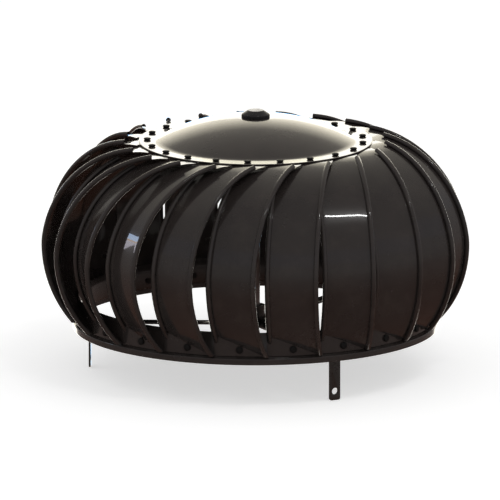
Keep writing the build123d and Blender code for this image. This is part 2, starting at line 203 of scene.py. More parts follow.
def arc(centre: tuple[float, float], radius: float, start: float, stop: float,
        steps: int) -> list[tuple[float, float]]:
    """Gives the points along an arc between two angles in degrees, both ends included."""
    angles = [math.radians(start + (stop - start) * i / steps) for i in range(steps + 1)]
    return [(centre[0] + radius * math.cos(a), centre[1] + radius * math.sin(a)) for a in angles]


def tidy_mesh(obj: Piece) -> None:
    """Merges doubled vertices, drops loose ones and points all faces outwards.

    Args:
        obj: The mesh object.
    """
    enter_edit(obj, "VERT")
    bpy.ops.mesh.select_all(action="SELECT")
    bpy.ops.mesh.remove_doubles(threshold=NEAR)
    bpy.ops.mesh.delete_loose()
    bpy.ops.mesh.select_all(action="SELECT")
    bpy.ops.mesh.normals_make_consistent(inside=False)
    leave_edit()


def apply_modifiers(obj: Piece) -> None:
    """Applies every modifier of an object in order.

    Args:
        obj: The object.
    """
    make_active(obj)
    for modifier in list(obj.modifiers):
        bpy.ops.object.modifier_apply(modifier=modifier.name)


def thicken(obj: Piece, sheet: float) -> None:
    """Gives a surface the thickness of its sheet, half on each side.

    Args:
        obj: The surface.
        sheet: Thickness in millimetres.
    """
    wall = obj.modifiers.new("sheet", "SOLIDIFY")
    wall.thickness = sheet * MM
    wall.offset = 0.0
    wall.use_even_offset = True
    apply_modifiers(obj)


def soften_edges(obj: Piece, width: float, segments: int, angle: float) -> None:
    """Rounds the sharp edges a little so that they catch the light.

    Args:
        obj: The mesh object.
        width: Width of the rounding in millimetres.
        segments: Divisions of the rounding.
        angle: Edges sharper than this are rounded, in degrees.
    """
    bevel = obj.modifiers.new("edge", "BEVEL")
    bevel.width = width * MM
    bevel.segments = segments
    bevel.limit_method = "ANGLE"
    bevel.angle_limit = math.radians(angle)
    apply_modifiers(obj)


def cut(obj: Piece, cutter: Piece) -> None:
    """Takes one closed mesh out of another and removes the cutter.

    Args:
        obj: The piece that is cut.
        cutter: The closed shape that is taken away.
    """
    difference = obj.modifiers.new("cut", "BOOLEAN")
    difference.operation = "DIFFERENCE"
    difference.solver = "EXACT"
    difference.object = cutter
    apply_modifiers(obj)
    bpy.data.objects.remove(cutter, do_unlink=True)


def smooth(obj: Piece, angle: float) -> None:
    """Shades a piece smooth apart from edges sharper than an angle in degrees."""
    make_active(obj)
    bpy.ops.object.shade_smooth_by_angle(angle=math.radians(angle))


def lathe(name: str, profile: Sequence[tuple[float, float]], steps: int) -> Piece:
    """Turns a closed profile about the Z axis.

    Args:
        name: Name of the new object.
        profile: Pairs of radius and height in millimetres.
        steps: Divisions of the full turn.

    Returns:
        The finished solid, in object mode.
    """
    obj = trace(name, [(r, 0.0, z) for r, z in profile], closed=True)
    bpy.ops.mesh.spin(steps=steps, angle=math.tau, center=(0, 0, 0), axis=(0, 0, 1),
                      use_auto_merge=True)
    leave_edit()
    tidy_mesh(obj)
    return obj


def ring_copies(piece: Piece, names: Sequence[str], first: float,
                place: Matrix = Matrix.Identity(4)) -> list[Piece]:
    """Copies a piece at even angles round the spin axis and removes the piece.

    Args:
        piece: The piece that is copied.
        names: One name for each copy.
        first: Angle of the first copy in degrees.
        place: Where the piece stands before it is turned.

    Returns:
        The copies in order, each with its own mesh.
    """
    copies = []
    for number, name in enumerate(names):
        turn = math.radians(first + number * 360 / len(names))
        copy = bpy.data.objects.new(name, piece.data.copy())
        bpy.context.collection.objects.link(copy)
        copy.data.transform(Matrix.Rotation(turn, 4, "Z") @ place)
        copy.data.name = name
        copies.append(copy)
    bpy.data.objects.remove(piece, do_unlink=True)
    return copies


def cylinder(radius: float, depth: float, centre: Point, steps: int,
             tilt: Point = (0.0, 0.0, 0.0)) -> Piece:
    """Makes a plain cylinder for cutting.

    Args:
        radius: Its radius in millimetres.
        depth: Its length in millimetres.
        centre: Its middle in millimetres.
        steps: Divisions round it.
        tilt: Its turn about each axis in radians.

    Returns:
        The cylinder, with its place in its mesh.
    """
    deselect_everything()
    bpy.ops.mesh.primitive_cylinder_add(vertices=steps, radius=radius * MM, depth=depth * MM,
                                        location=[c * MM for c in centre], rotation=tilt)
    bpy.ops.object.transform_apply(location=True, rotation=True, scale=True)
    return bpy.context.object


def join(parts: Sequence[Piece], name: str) -> Piece:
    """Makes one object of several.

    Args:
        parts: The objects that are joined.
        name: Name of the result.

    Returns:
        The joined object.
    """
    deselect_everything()
    for part in parts:
        part.select_set(True)
    bpy.context.view_layer.objects.active = parts[0]
    bpy.ops.object.join()
    joined = bpy.context.object
    joined.name = name
    joined.data.name = name
    return joined


# ---------- finishes
class Graph:
    """A small helper that wires shader nodes."""

    def __init__(self, owner: bpy.types.Material | bpy.types.World) -> None:
        """Clears the nodes of a material or world.

        Args:
            owner: The material or world that is built.
        """
        owner.use_nodes = True
        self.tree = owner.node_tree
        self.tree.nodes.clear()

    def add(self, kind: str, **values: object) -> bpy.types.Node:
        """Adds a node and sets its properties and input values.

        Args:
            kind: The node's type name.
            **values: Properties by name, or inputs by their name with spaces as underscores.

        Returns:
            The node.
        """
        node = self.tree.nodes.new(kind)
        for key, value in values.items():
            if hasattr(node, key):
                setattr(node, key, value)
            else:
                node.inputs[key.replace("_", " ")].default_value = value
        return node

    def link(self, source: Socket, target: Socket) -> None:
        """Joins two sockets."""
        self.tree.links.new(source, target)

    def feed(self, value: Socket | float | Colour, target: Socket) -> None:
        """Links a socket to an input, or sets the input to a number or colour.

        Args:
            value: What the input gets.
            target: The input.
        """
        if isinstance(value, Socket):
            self.link(value, target)
        else:
            target.default_value = (*value, 1.0) if target.type == "RGBA" else value

    def maths(self, operation: str, first: Socket | float, second: Socket | float = 0.0) -> Socket:
        """Adds an arithmetic node.

        Args:
            operation: Its operation.
            first: Its first value.
            second: Its second value.

        Returns:
            The result.
        """
        node = self.add("ShaderNodeMath", operation=operation)
        self.feed(first, node.inputs[0])
        self.feed(second, node.inputs[1])
        return node.outputs[0]

    def remap(self, source: Socket, low: float, high: float, out_low: float = 0.0,
              out_high: float = 1.0) -> Socket:
        """Stretches a value from one range to another.

        Args:
            source: The value.
            low: Value that becomes out_low.
            high: Value that becomes out_high.
            out_low: Lowest result.
            out_high: Highest result.

        Returns:
            The new value.
        """
        node = self.add("ShaderNodeMapRange")
        for index, value in enumerate((low, high, out_low, out_high), start=1):
            node.inputs[index].default_value = value
        self.link(source, node.inputs[0])
        return node.outputs[0]

    def band(self, value: Socket, low: float, high: float, soft: float) -> Socket:
        """Is one between two values and falls to zero over a soft edge.

        Args:
            value: The value that is tested.
            low: Where the band begins.
            high: Where it ends.
            soft: Width of each edge.

        Returns:
            The band's strength.
        """
        up = self.remap(value, low - soft, low)
        return self.maths("MULTIPLY", up, self.remap(value, high, high + soft, 1.0, 0.0))

    def blend(self, factor: Socket, first: Socket | Colour, second: Socket | Colour) -> Socket:
        """Mixes two colours.

        Args:
            factor: Share of the second colour.
            first: The first colour.
            second: The second colour.

        Returns:
            The mixed colour.
        """
        node = self.add("ShaderNodeMix", data_type="RGBA")
        self.link(factor, node.inputs["Factor"])
        for value, socket in zip((first, second), [k for k in node.inputs if k.type == "RGBA"]):
            self.feed(value, socket)
        return [k for k in node.outputs if k.type == "RGBA"][0]


class SurfaceGraph(Graph):
    """The nodes of a material: object coordinates, the main shader and the output."""

    def __init__(self, material: bpy.types.Material) -> None:
        """Adds the output, the main shader and the coordinates.

        Args:
            material: The material that is built.
        """
        super().__init__(material)
        self.out = self.add("ShaderNodeOutputMaterial")
        self.shader = self.add("ShaderNodeBsdfPrincipled")
        self.link(self.shader.outputs["BSDF"], self.out.inputs["Surface"])
        self.place = self.add("ShaderNodeTexCoord").outputs["Object"]

    def set_even(self, **values: float) -> None:
        """Sets inputs of the main shader that are the same all over; underscores stand for spaces."""
        for key, value in values.items():
            self.shader.inputs[key.replace("_", " ")].default_value = value

    def noise(self, scale: float, detail: float = 3.0, rough: float = 0.5,
              stretch: Point = (1.0, 1.0, 1.0)) -> Socket:
        """Adds a noise pattern on object coordinates.

        Args:
            scale: Cells per metre.
            detail: Octaves.
            rough: Weight of the finer octaves.
            stretch: Scale along each axis.

        Returns:
            The pattern's factor, from zero to one.
        """
        mapping = self.add("ShaderNodeMapping")
        mapping.inputs["Scale"].default_value = stretch
        self.link(self.place, mapping.inputs["Vector"])
        texture = self.add("ShaderNodeTexNoise", Scale=scale, Detail=detail, Roughness=rough)
        self.link(mapping.outputs["Vector"], texture.inputs["Vector"])
        return texture.outputs["Fac"]

    def bump(self, height: Socket, depth: float, strength: float) -> None:
        """Lets a pattern raise the surface.

        Args:
            height: The pattern.
            depth: Its height in metres.
            strength: Share of it that shows.
        """
        node = self.add("ShaderNodeBump", Strength=strength, Distance=depth)
        self.link(height, node.inputs["Height"])
        self.link(node.outputs["Normal"], self.shader.inputs["Normal"])


@dataclass(frozen=True)
class GlossPaint:
    """Glossy stove enamel over sheet metal, with orange peel and faint clouding."""

    name: str
    slot: str
    dark: Colour
    light: Colour
    roughness: float = 0.24
    spread: float = 0.07
    coat: float = 1.0
    coat_roughness: float = 0.03
    peel: float = 0.000006
    dust: Colour = (0.09, 0.075, 0.062)
    dust_share: float = 0.16
    shine: float = 0.3
    cloud_scale: float = 14.0
    film_scale: float = 55.0
    haze_scale: float = 32.0
    peel_scale: float = 420.0

    def material(self) -> bpy.types.Material:
        """Builds the paint.

        Returns:
            The material.
        """
        material = bpy.data.materials.new(self.name)
        graph = SurfaceGraph(material)
        cloud = graph.remap(graph.noise(self.cloud_scale, 4.0, 0.55), 0.3, 0.7)
        colour = graph.blend(cloud, self.dark, self.light)
        film = graph.remap(graph.noise(self.film_scale, 6.0, 0.65), 0.48, 0.78, 0.0, self.dust_share)
        colour = graph.blend(film, colour, self.dust)
        graph.link(colour, graph.shader.inputs["Base Color"])
        haze = graph.noise(self.haze_scale, 5.0, 0.6)
        graph.link(graph.remap(haze, 0.25, 0.75, self.roughness - self.spread,
                               self.roughness + self.spread), graph.shader.inputs["Roughness"])
        graph.bump(graph.noise(self.peel_scale, 2.0, 0.4), self.peel, 0.6)
        graph.set_even(Metallic=0.0, Coat_Weight=self.coat, Coat_Roughness=self.coat_roughness,
                       Specular_IOR_Level=self.shine, IOR=1.5)
        return material


@dataclass(frozen=True)
class BareMetal:
    """Turned or plated metal with fine tool marks."""

    name: str
    slot: str
    dark: Colour
    light: Colour
    roughness: float = 0.32
    spread: float = 0.08
    grain: float = 900.0
    stretch: Point = (1.0, 1.0, 0.06)
    depth: float = 0.000012
    stain_scale: float = 90.0

    def material(self) -> bpy.types.Material:
        """Builds the metal.

        Returns:
            The material.
        """
        material = bpy.data.materials.new(self.name)
        graph = SurfaceGraph(material)
        marks = graph.noise(self.grain, 3.0, 0.55, self.stretch)
        colour = graph.blend(graph.remap(marks, 0.3, 0.7), self.dark, self.light)
        graph.link(colour, graph.shader.inputs["Base Color"])
        stain = graph.noise(self.stain_scale, 4.0, 0.6)
        graph.link(graph.remap(stain, 0.3, 0.7, self.roughness - self.spread,
                               self.roughness + self.spread), graph.shader.inputs["Roughness"])
        graph.bump(marks, self.depth, 0.5)
        graph.set_even(Metallic=1.0)
        return material


@dataclass(frozen=True)
class MouldedPlastic:
    """Black moulded plastic with a fine satin grain."""

    name: str
    slot: str
    dark: Colour = (0.012, 0.012, 0.013)
    light: Colour = (0.022, 0.021, 0.021)
    roughness: float = 0.22
    tone_scale: float = 160.0
    haze_scale: float = 240.0
    grain_scale: float = 2600.0
    grain_depth: float = 0.000008

    def material(self) -> bpy.types.Material:
        """Builds the plastic.

        Returns:
            The material.
        """
        material = bpy.data.materials.new(self.name)
        graph = SurfaceGraph(material)
        tone = graph.remap(graph.noise(self.tone_scale, 4.0, 0.6), 0.3, 0.7)
        graph.link(graph.blend(tone, self.dark, self.light), graph.shader.inputs["Base Color"])
        haze = graph.noise(self.haze_scale, 3.0, 0.5)
        graph.link(graph.remap(haze, 0.3, 0.7, self.roughness - 0.05, self.roughness + 0.07),
                   graph.shader.inputs["Roughness"])
        graph.bump(graph.noise(self.grain_scale, 2.0, 0.5), self.grain_depth, 0.5)
        return material


BRONZE = GlossPaint("bronze_paint", "sheet_aluminium", (0.0265, 0.0216, 0.0203), (0.0345, 0.0278, 0.0258))
BRACE_BRONZE = GlossPaint("brace_paint", "brace_paint", (0.0260, 0.0216, 0.0200),
                          (0.0340, 0.0278, 0.0255), roughness=0.3)
RIVET_BLACK = GlossPaint("rivet_black", "black_rivet", (0.006, 0.006, 0.006), (0.010, 0.0095, 0.009),
                         roughness=0.5, coat=0.0, dust_share=0.06)
ZINC = BareMetal("zinc_plate", "zinc_steel", (0.36, 0.36, 0.37), (0.52, 0.52, 0.53))
SINTERED = BareMetal("sintered_bronze", "bush_bronze", (0.42, 0.27, 0.12), (0.58, 0.40, 0.20),
                     roughness=0.45, grain=1800.0, stretch=(1.0, 1.0, 1.0))
CAP_PLASTIC = MouldedPlastic("cap_plastic", "black_cap")


Finish = GlossPaint | BareMetal | MouldedPlastic


class Dresser:
    """Holds the built materials and puts them on pieces."""

    def __init__(self) -> None:
        """Starts with no material built."""
        self.built: dict[str, bpy.types.Material] = {}

    def put(self, obj: Piece, finish: Finish) -> None:
        """Gives a whole object one finish.

        Args:
            obj: The mesh object.
            finish: The finish it takes.
        """
        if finish.name not in self.built:
            self.built[finish.name] = finish.material()
        obj.data.materials.clear()
        obj.data.materials.append(self.built[finish.name])

    def settle(self, obj: Piece, finish: Finish,
               body: Body, nodes: Iterable[str]) -> None:
        """Finishes a new piece, ties it to its body and hides the CAD nodes that it stands for.

        Args:
            obj: The new piece.
            finish: Its finish.
            body: The body it rides on.
            nodes: CAD nodes that it replaces.
        """
        self.put(obj, finish)
        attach(obj, body.value)
        for node in nodes:
            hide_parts(node)
        LOG.info("%s: %d faces on %s", obj.name, len(obj.data.polygons), body.value)


# ---------- the spinning head
@dataclass
class VaneRing:
    """Twenty-one curled-edge strips between the crown and the base ring; millimetres."""

    count: int = VANES
    first_angle: float = FIRST_VANE
    sheet: float = 0.8
    offset: float = 56.0
    width: float = 49.0
    reach: float = 174.9
    hip_radius: float = 52.3
    hip_turn: float = 8.8
    shoulder_radius: float = 100.0
    fold_height: float = 16.3
    tab_crease: float = 82.0
    outer_stop: float = 89.6
    inner_stop: float = 121.0
    curl_radius: float = 1.9
    curl_mouth: float = 105.0
    curl_steps: int = 19
    curl_slack: float = 0.3
    flat_steps: int = 5
    skirt_turn: float = 50.0
    skirt_steps: int = 26
    hip_steps: int = 5
    shoulder_steps: int = 24
    outer_steps: int = 8
    crease_steps: int = 3
    tab_run: float = 40.0
    ring_lift: float = RING_BOTTOM
    head_height: float = HEAD_HEIGHT
    crown_sheet: float = CROWN_SHEET
    band_radius: float = RING_RADIUS
    band_clearance: float = 0.01
    foot_rise: float = 7.6
    foot_inset: float = 4.8
    foot_rows: int = 4
    foot_row: float = 6.0
    rim_radius: float = RIM_RADIUS
    notch_margin: float = 2.5
    notch_reach: float = 80.0
    cut_past: float = 30.0
    clear_radius: float = 260.0
    clear_bottom: float = -20.0
    rivet_turn: float = RIM_TURN
    tab_turn: float = 16.3
    tab_end: float = 92.5
    hip_x: float = field(init=False)
    shoulder_x: float = field(init=False)
    shoulder_z: float = field(init=False)
    widest_z: float = field(init=False)
    skirt_radius: float = field(init=False)
    skirt_x: float = field(init=False)

    def __post_init__(self) -> None:
        """Works out the centres of the three arcs of the strip."""
        gap = self.shoulder_radius - self.hip_radius
        turn = math.radians(self.hip_turn)
        self.hip_x = self.reach - self.hip_radius
        self.shoulder_x = self.hip_x - gap * math.cos(turn)
        tab = self.ring_lift + self.head_height - self.crown_sheet - self.sheet / 2
        self.shoulder_z = tab - math.sqrt(self.shoulder_radius**2
                                          - (self.tab_crease - self.shoulder_x)**2)
        self.widest_z = self.shoulder_z + gap * math.sin(turn)
        fold_x = math.sqrt(self.band_radius**2 - self.offset**2)
        fall = self.widest_z - self.ring_lift - self.fold_height
        self.skirt_radius = (fall**2 + (self.reach - fold_x)**2) / (2 * (self.reach - fold_x))
        self.skirt_x = self.reach - self.skirt_radius

    @property
    def foot_level(self) -> float:
        """Lower end of the foot tabs above the feet."""
        return self.ring_lift + self.foot_rise

    @property
    def curl_sides(self) -> Span:
        """Middle of the sheet at the outer side of each curl."""
        inset = self.width / 2
        return self.offset - inset + self.sheet / 2, self.offset + inset - self.sheet / 2

    def section(self) -> list[Point]:
        """Draws the strip's cross-section at its widest point, from one curl to the other.

        Returns:
            The line's points.
        """
        r = self.curl_radius
        low, high = self.curl_sides
        inner = arc((self.reach + r, low + r), r, self.curl_mouth, -180, self.curl_steps)
        outer = arc((self.reach + r, high - r), r, 180, -self.curl_mouth, self.curl_steps)
        strip = [(self.reach, low + r + (high - low - 2 * r) * i / self.flat_steps)
                 for i in range(1, self.flat_steps)]
        points = [*inner, *strip, *outer]
        return [(x, y, self.widest_z) for x, y in points]

    def sweep_turn(self, stop: float) -> float:
        """Gives the shoulder arc's angle in degrees at a distance along the strip's plane."""
        return math.degrees(math.acos((stop - self.shoulder_x) / self.shoulder_radius))

    def spin_up(self, centre: tuple[float, float], turn: float, steps: int) -> None:
        """Carries the selected end of the strip upwards round an arc, by an angle in degrees."""
        bpy.ops.mesh.spin(steps=steps, angle=math.radians(turn),
                          center=(centre[0] * MM, 0.0, centre[1] * MM), axis=(0, 1, 0),
                          use_auto_merge=False)

    def strip(self) -> Piece:
        """Models the strip from its section: down the skirt, up the hip and over the shoulder.

        Returns:
            The strip with the thickness of its sheet.
        """
        obj = trace("strip", self.section())
        curl = 2 * self.curl_radius + self.curl_slack
        low, high = self.curl_sides
        self.spin_up((self.skirt_x, self.widest_z), -self.skirt_turn, self.skirt_steps)
        select_vertices(obj, lambda co: abs(co.z - self.widest_z * MM) < TOUCH)
        bpy.ops.mesh.select_mode(type="EDGE")
        self.spin_up((self.hip_x, self.widest_z), self.hip_turn, self.hip_steps)
        inner = self.sweep_turn(self.inner_stop)
        shoulder = (self.shoulder_x, self.shoulder_z)
        self.spin_up(shoulder, inner - self.hip_turn, self.shoulder_steps)
        keep_selected_edges(obj, lambda a, b: max(a.y, b.y) > (low + curl) * MM)
        outer = self.sweep_turn(self.outer_stop)
        self.spin_up(shoulder, outer - inner, self.outer_steps)
        keep_selected_edges(obj, lambda a, b: min(a.y, b.y) < (high - curl) * MM)
        crease = self.sweep_turn(self.tab_crease)
        self.spin_up(shoulder, crease - outer, self.crease_steps)
        self.draw_in()
        side = self.offset - self.width / 2
        last = (crease, self.crease_steps)
        inner_flat = self.flat_edge("inner_flat", side, low + self.curl_radius,
                                    [(inner, 0), (outer, self.outer_steps), last])
        outer_flat = self.flat_edge("outer_flat", high - self.curl_radius, side + self.width,
                                    [(outer, 0), last])
        obj = join([obj, inner_flat, outer_flat], "strip")
        tidy_mesh(obj)
        thicken(obj, self.sheet)
        return obj

    def draw_in(self) -> None:
        """Runs the selected end level towards the axis as the top tab."""
        bpy.ops.mesh.extrude_region_move(
            TRANSFORM_OT_translate={"value": (-self.tab_run * MM, 0, 0)})
        leave_edit()

    def flat_edge(self, name: str, low: float, high: float,
                  turns: list[tuple[float, int]]) -> Piece:
        """Models the flat margin of the strip where its curl has ended.

        Args:
            name: Name of the object.
            low: Inner side of the margin, across the strip.
            high: Outer side of the margin.
            turns: Angles on the shoulder arc, each with the divisions that lead to it.

        Returns:
            The margin as an open sheet.
        """
        first = math.radians(turns[0][0])
        x = self.shoulder_x + self.shoulder_radius * math.cos(first)
        z = self.shoulder_z + self.shoulder_radius * math.sin(first)
        obj = trace(name, [(x, low, z), (x, high, z)])
        for (before, _), (after, steps) in zip(turns, turns[1:]):
            self.spin_up((self.shoulder_x, self.shoulder_z), after - before, steps)
        self.draw_in()
        return obj

    def round_cutter(self, radius: float, bottom: float, top: float, steps: int) -> Piece:
        """Makes an upright cylinder on the spin axis between two levels."""
        return cylinder(radius, top - bottom, (0, 0, (top + bottom) / 2), steps)

    def notch_cutter(self, side: int) -> Piece:
        """Makes the shape that takes away the strip beside its top tab.

        Args:
            side: 1 for beyond the tab, -1 for before it.

        Returns:
            The cutter.
        """
        edge = self.rivet_turn + side * self.tab_turn / 2
        far = edge + side * self.notch_reach
        radius = self.rim_radius + self.notch_margin
        outline = [(0.0, 0.0)] + arc((0, 0), radius, edge, far, 40)
        level = self.shoulder_z + self.notch_reach / 2
        obj = trace("notch", [(x, y, level) for x, y in outline], closed=True)
        bpy.ops.mesh.edge_face_add()
        bpy.ops.mesh.extrude_region_move(TRANSFORM_OT_translate={"value": (0, 0, self.notch_reach * MM)})
        leave_edit()
        tidy_mesh(obj)
        return obj

    def foot(self) -> Piece:
        """Models the tab that lies on the band below the slanting lower end.

        Returns:
            The tab.
        """
        start = math.degrees(math.asin((self.offset - self.width / 2) / self.band_radius))
        stop = math.degrees(math.asin((self.offset + self.width / 2 - self.foot_inset) / self.band_radius))
        radius = self.band_radius + self.sheet / 2
        line = arc((0, 0), radius, start, stop, 18)
        obj = trace("foot", [(x, y, self.foot_level) for x, y in line])
        for _ in range(self.foot_rows):
            bpy.ops.mesh.extrude_region_move(
                TRANSFORM_OT_translate={"value": (0, 0, self.foot_row * MM)})
        leave_edit()
        tidy_mesh(obj)
        thicken(obj, self.sheet)
        cut(obj, cylinder(self.skirt_radius - self.sheet / 2, 400.0,
                          (self.skirt_x, 0, self.widest_z), 240, (math.pi / 2, 0, 0)))
        return obj

    def build(self, dresser: Dresser) -> None:
        """Models one vane and copies it round the head.

        Args:
            dresser: Puts the finishes on.
        """
        vane = self.strip()
        past = self.cut_past
        cut(vane, self.round_cutter(self.band_radius + self.band_clearance,
                                    self.foot_level - past, self.ring_lift + 2 * past, 360))
        cut(vane, self.round_cutter(self.clear_radius, self.clear_bottom, self.foot_level, 24))
        cut(vane, self.notch_cutter(1))
        cut(vane, self.notch_cutter(-1))
        cut(vane, self.round_cutter(self.tab_end, self.shoulder_z + past,
                                    self.shoulder_z + self.shoulder_radius + past, 96))
        vane = join([vane, self.foot()], "vane")
        smooth(vane, 34)
        names = [f"vane_{number + 1:02d}" for number in range(self.count)]
        copies = ring_copies(vane, [f"curled_{name}" for name in names], self.first_angle)
        for name, copy in zip(names, copies):
            dresser.settle(copy, BRONZE, Body.TURBINE, [name])


BUTTON = [(2.5, 0.0), (2.8, 0.35), (3.25, 0.8), (3.3, 1.1), (3.2, 1.45), (2.9, 1.75), (2.3, 2.0),
          (1.5, 2.13), (0.7, 2.18), (0.0, 2.2)]


def button_rivet(name: str, grip: float, seat: float = 0.0) -> Piece:
    """Turns a rivet with a button head above its seat and a flat head below the sheets.

    Args:
        name: Its name.
        grip: Thickness of the sheets that it holds.
        seat: Level of the upper sheet's face.

    Returns:
        The rivet, upright on the axis.
    """
    under, shank, flat = seat - grip, 2.0, 2.7
    profile = [(0.0, under - 1.0), (flat, under - 1.0), (flat, under), (shank, under),
               (shank, seat), *[(r, seat + z) for r, z in BUTTON]]
    rivet = lathe(name, profile, 20)
    smooth(rivet, 40)
    return rivet


@dataclass
class Crown:
    """Spun dome with a flat rim, its black cap and its ring of button rivets; millimetres."""

    rim_top: float = RING_BOTTOM + HEAD_HEIGHT
    rim_radius: float = RIM_RADIUS
    sheet: float = CROWN_SHEET
    foot_radius: float = 90.6
    rise: float = 21.6
    land_radius: float = 15.0
    hole_radius: float = 9.6
    rivet_circle: float = 98.7
    rivet_angle: float = FIRST_VANE + RIM_TURN
    rivet_grip: float = 2.0
    count: int = VANES
    cap_radius: float = 13.0
    cap_height: float = 6.2

    def dome_line(self, drop: float) -> list[tuple[float, float]]:
        """Profile of one face of the crown, from the centre hole to the rim.

        Args:
            drop: How far this face lies below the upper one.

        Returns:
            Pairs of radius and height.
        """
        top = self.rim_top + self.rise
        half = (self.foot_radius**2 + self.rise**2 - self.land_radius**2) / (2 * self.rise)
        sphere = math.hypot(half, self.land_radius)
        centre = top - half
        first = math.degrees(math.atan2(half, self.land_radius))
        last = math.degrees(math.atan2(self.rim_top - centre, self.foot_radius))
        dome = arc((0, centre), sphere, first, last + 1.0, 26)
        foot = (self.foot_radius, self.rim_top)
        start = Vector(dome[-1])
        bend = []
        for i in range(1, 7):
            t = i / 7
            end = Vector((foot[0] + 4.2, foot[1]))
            bend.append(tuple((1 - t)**2 * start + 2 * t * (1 - t) * Vector(foot) + t * t * end))
        line = [(self.hole_radius, top), *dome, *bend, (foot[0] + 4.2, foot[1]),
                (self.rivet_circle, foot[1]), (self.rim_radius - 1.2, foot[1])]
        return [(r, z - drop) for r, z in line]

    def build(self, dresser: Dresser) -> None:
        """Models the dome, the cap and the rivets.

        Args:
            dresser: Puts the finishes on.
        """
        edge = arc((self.rim_radius - self.sheet / 2, self.rim_top - self.sheet / 2), self.sheet / 2,
                   90, -90, 6)
        profile = [*self.dome_line(0.0), *edge, *reversed(self.dome_line(self.sheet))]
        dome = lathe("spun_crown", profile, 168)
        smooth(dome, 40)
        dresser.settle(dome, BRONZE, Body.TURBINE, ["crown"])
        self.build_cap(dresser)
        self.build_rivets(dresser)

    def build_cap(self, dresser: Dresser) -> None:
        """Models the black cap on the dome.

        Args:
            dresser: Puts the finishes on.
        """
        base, top = self.rim_top + self.rise, self.rim_top + self.rise + self.cap_height
        out = self.cap_radius
        profile = [(self.hole_radius, base), (out - 0.4, base), (out - 0.1, base + 0.15),
                   (out, base + 0.5), (out, base + 2.3), *arc((out - 0.5, base + 2.35), 0.5, 5, 58, 4),
                   *arc((7.0, top - 0.55), 0.55, 60, 90, 3), (3.0, top - 0.02), (0.0, top - 0.05),
                   (0.0, top - 1.5), (5.7, top - 1.5), (self.hole_radius, base + 2.4)]
        cap = lathe("moulded_cap", profile, 72)
        smooth(cap, 34)
        dresser.settle(cap, CAP_PLASTIC, Body.TURBINE, ["cap"])

    def build_rivets(self, dresser: Dresser) -> None:
        """Models one button rivet and sets it round the rim.

        Args:
            dresser: Puts the finishes on.
        """
        rivet = button_rivet("button", self.rivet_grip, self.rim_top)
        copies = ring_copies(rivet, [f"button_{number}" for number in range(self.count)],
                             self.rivet_angle, Matrix.Translation((self.rivet_circle * MM, 0, 0)))
        dresser.settle(join(copies, "rim_buttons"), RIVET_BLACK, Body.TURBINE, ["crown_rivets"])


@dataclass
class BaseRing:
    """Rolled band with a stepped lip, and the rivets of the vanes' feet; millimetres."""

    radius: float = RING_RADIUS
    sheet: float = 0.9
    bottom: float = RING_BOTTOM
    height: float = 29.3
    lip_radius: float = 166.9
    step: float = 7.3
    slope: float = 1.6
    rivet_level: float = 52.9
    rivet_angle: float = FIRST_VANE + FOOT_TURN
    rivet_grip: float = 1.8
    tab_sheet: float = 0.8
    count: int = VANES

    def build(self, dresser: Dresser) -> None:
        """Models the ring and its rivets.

        Args:
            dresser: Puts the finishes on.
        """
        low, top, step = self.bottom, self.bottom + self.height, self.bottom + self.step
        out, lip, t = self.radius, self.lip_radius, self.sheet
        profile = [*arc((out - t / 2, top - t / 2), t / 2, 0, 180, 5),
                   (out - t, step + 0.4), (out - t + 0.25, step - t + 0.15),
                   (lip - t - 1.2, step - self.slope - t + 0.45), (lip - t, step - self.slope - t - 0.5),
                   (lip - t, low + t / 2), *arc((lip - t / 2, low + t / 2), t / 2, 200, 340, 5),
                   (lip, low + t), (lip, step - self.slope - 1.0),
                   *arc((lip - 1.2, step - self.slope - 1.0 + 0.1), 1.2, 5, 70, 6),
                   (out + 0.9, step - 0.32), (out + 0.25, step - 0.02), (out, step + 0.35)]
        ring = lathe("rolled_ring", profile, 252)
        smooth(ring, 40)
        dresser.settle(ring, BRONZE, Body.TURBINE, ["base_ring"])
        self.build_rivets(dresser)

    def build_rivets(self, dresser: Dresser) -> None:
        """Models one button rivet lying level and sets it round the band.

        Args:
            dresser: Puts the finishes on.
        """
        place = (Matrix.Translation(((self.radius + self.tab_sheet) * MM, 0, self.rivet_level * MM))
                 @ Matrix.Rotation(math.pi / 2, 4, "Y"))
        copies = ring_copies(button_rivet("side_button", self.rivet_grip),
                             [f"side_{number}" for number in range(self.count)],
                             self.rivet_angle, place)
        dresser.settle(join(copies, "band_buttons"), RIVET_BLACK, Body.TURBINE, ["ring_rivets"])


